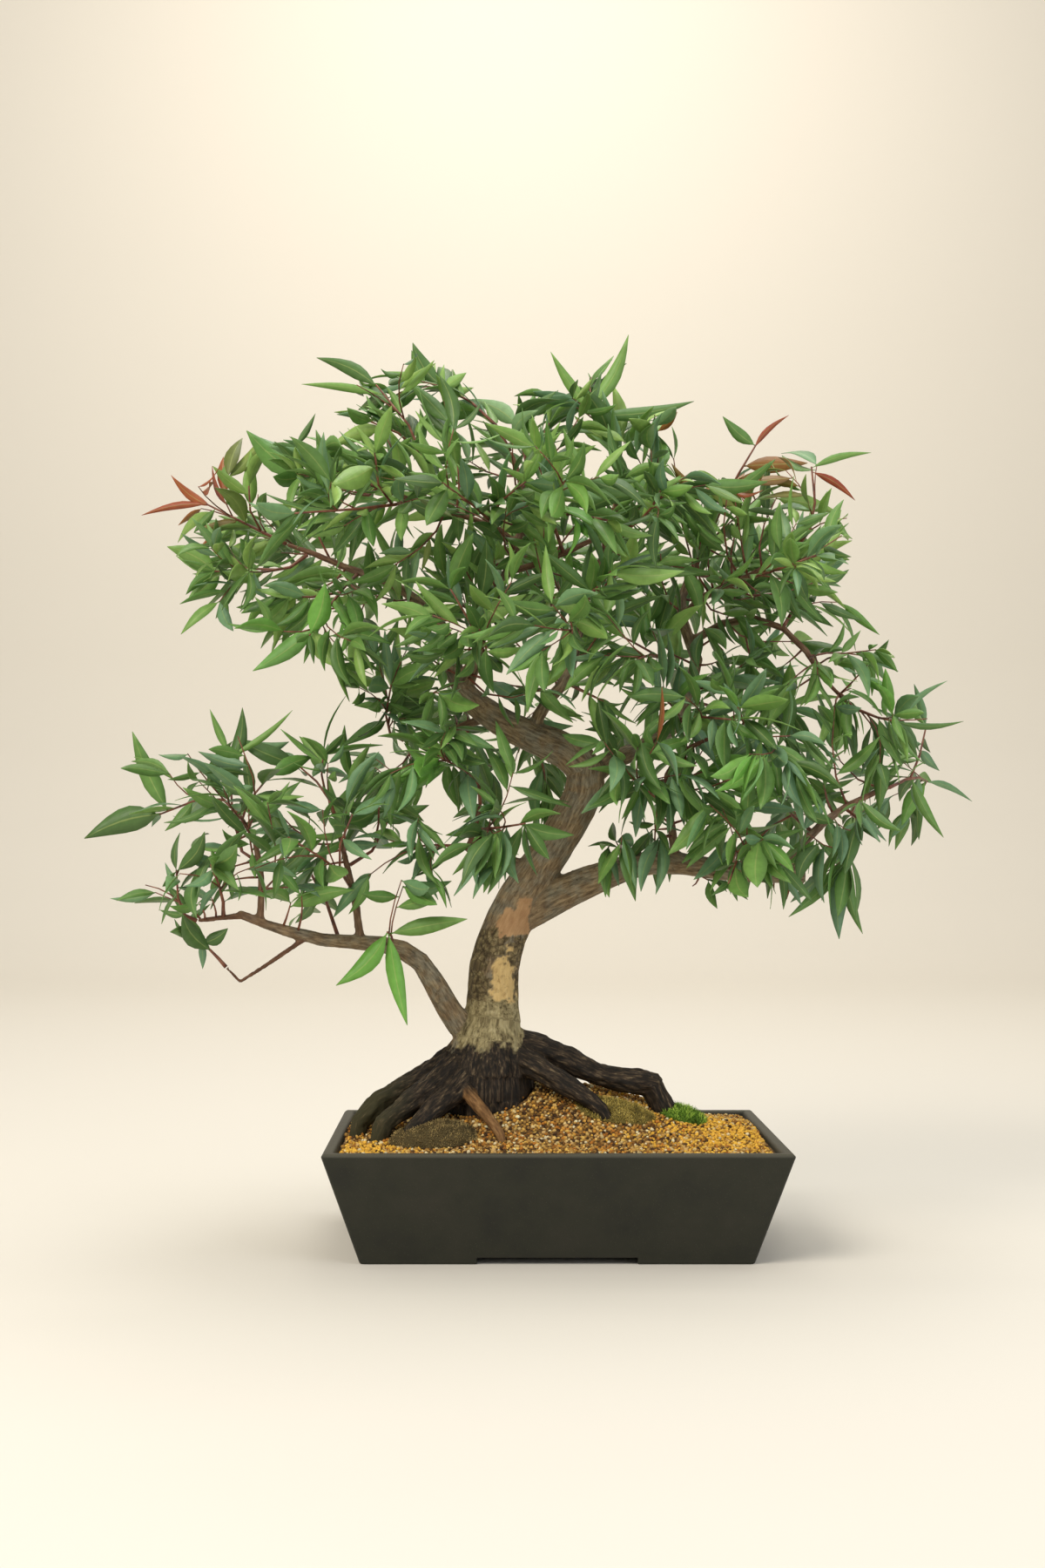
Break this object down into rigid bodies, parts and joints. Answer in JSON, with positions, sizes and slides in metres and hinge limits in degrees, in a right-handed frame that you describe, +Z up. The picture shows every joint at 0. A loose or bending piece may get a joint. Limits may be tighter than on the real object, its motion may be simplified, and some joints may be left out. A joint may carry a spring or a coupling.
{
  "type": "eucalyptus bonsai",
  "caption": "Eucalyptus bonsai with long drooping leaves and bare spreading roots, growing in a low rectangular dark stoneware pot with soil and moss.",
  "frame": {"origin": "the point of the table under the middle of the pot, which is the bottom centre of the whole part's bounding box", "axes": "+X along the pot's long side, to the right seen from the front; the front faces -Y; +Z up"},
  "size_m": [0.866, 0.4641, 0.845],
  "materials": {
    "stoneware": "matte, unglazed, dark olive grey",
    "screen_plastic": "matte",
    "bark": "matte, smooth bark in tan, cream and grey patches",
    "soil_grit": "matte, loose grit",
    "moss_brown": "matte, soft",
    "moss_olive": "matte, soft",
    "moss_green": "matte, soft",
    "leaf": "satin, leathery leaf"
  },
  "bodies": {
    "root": {"drain_screen_left": "screen_plastic", "drain_screen_right": "screen_plastic", "moss_brown": "moss_brown", "moss_green": "moss_green", "moss_olive": "moss_olive", "pot": "stoneware", "soil": "soil_grit", "spray_centre_1": "leaf", "spray_centre_2": "leaf", "spray_centre_3": "leaf", "spray_end_1": "leaf", "spray_end_2": "leaf", "spray_end_3": "leaf", "spray_end_4": "leaf", "spray_end_5": "leaf", "spray_end_6": "leaf", "spray_left_1": "leaf", "spray_left_2": "leaf", "spray_left_3": "leaf", "spray_left_4": "leaf", "spray_left_5": "leaf", "spray_left_6": "leaf", "spray_left_7": "leaf", "spray_left_8": "leaf", "spray_left_9": "leaf", "spray_low_1": "leaf", "spray_low_10": "leaf", "spray_low_2": "leaf", "spray_low_3": "leaf", "spray_low_4": "leaf", "spray_low_5": "leaf", "spray_low_6": "leaf", "spray_low_7": "leaf", "spray_low_8": "leaf", "spray_low_9": "leaf", "spray_mid_1": "leaf", "spray_mid_2": "leaf", "spray_mid_3": "leaf", "spray_mid_4": "leaf", "spray_mid_5": "leaf", "spray_right_1": "leaf", "spray_right_2": "leaf", "spray_right_3": "leaf", "spray_right_4": "leaf", "spray_right_5": "leaf", "spray_right_6": "leaf", "spray_right_7": "leaf", "spray_right_8": "leaf", "spray_right_9": "leaf", "spray_top_1": "leaf", "spray_top_2": "leaf", "spray_top_3": "leaf", "spray_top_4": "leaf", "spray_top_5": "leaf", "spray_top_6": "leaf", "spray_top_7": "leaf", "spray_top_8": "leaf", "spray_top_9": "leaf", "tree_wood": "bark"}
  },
  "joints": []
}
